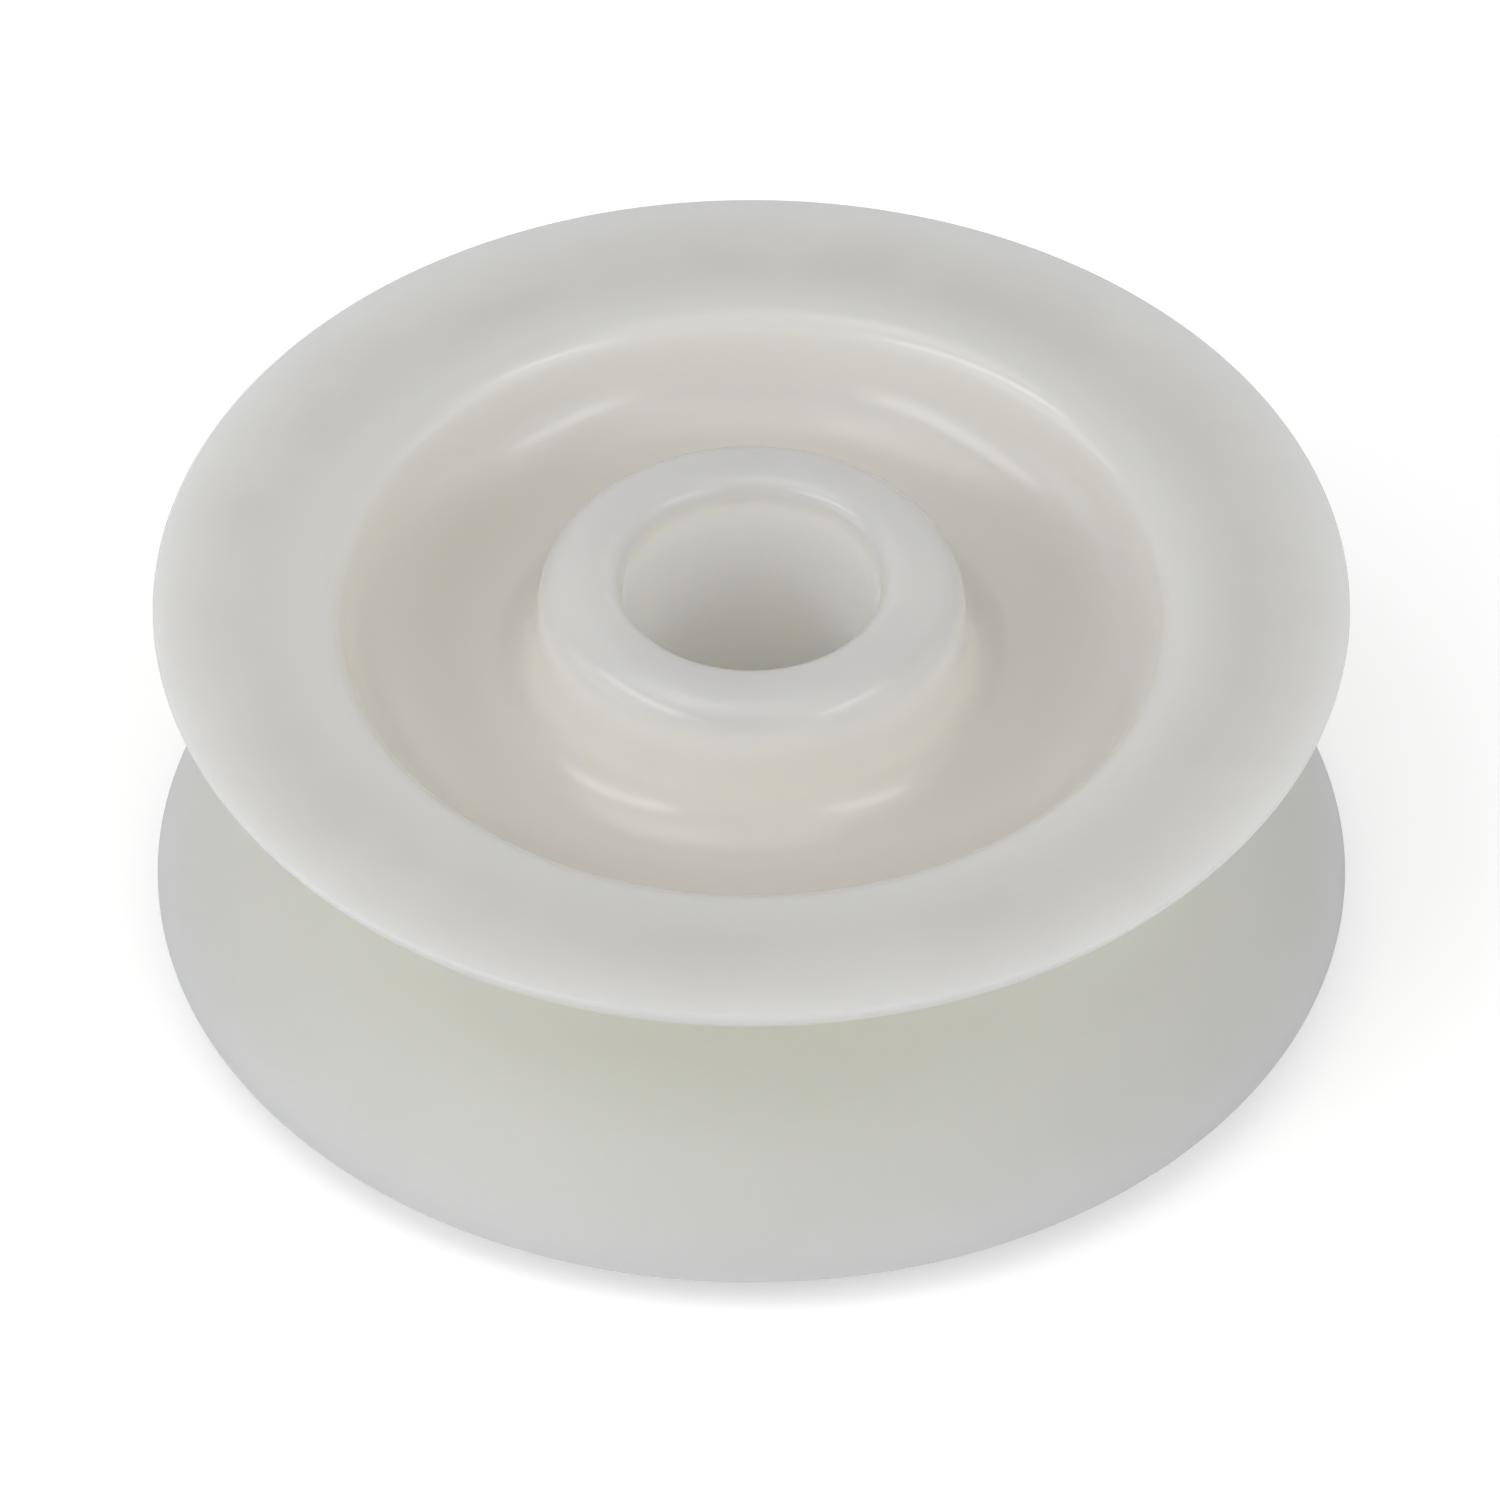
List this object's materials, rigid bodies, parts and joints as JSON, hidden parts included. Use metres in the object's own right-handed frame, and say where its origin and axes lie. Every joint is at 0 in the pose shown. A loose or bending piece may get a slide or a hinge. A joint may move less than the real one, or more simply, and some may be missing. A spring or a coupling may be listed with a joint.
{
  "type": "wire rope sheave",
  "caption": "Plain-bore nylon sheave with a deep rounded rope groove, dished sides and a raised centre hub.",
  "frame": {"origin": "on the bore axis, half way between the hub's two end faces", "axes": "+Z along the bore axis; the wheel lies flat, and X and Y are alike because it is turned about Z"},
  "size_m": [0.06, 0.06, 0.0226],
  "materials": {
    "natural_nylon": "satin, as moulded, slightly translucent"
  },
  "bodies": {
    "root": {"sheave": "natural_nylon"}
  },
  "joints": []
}
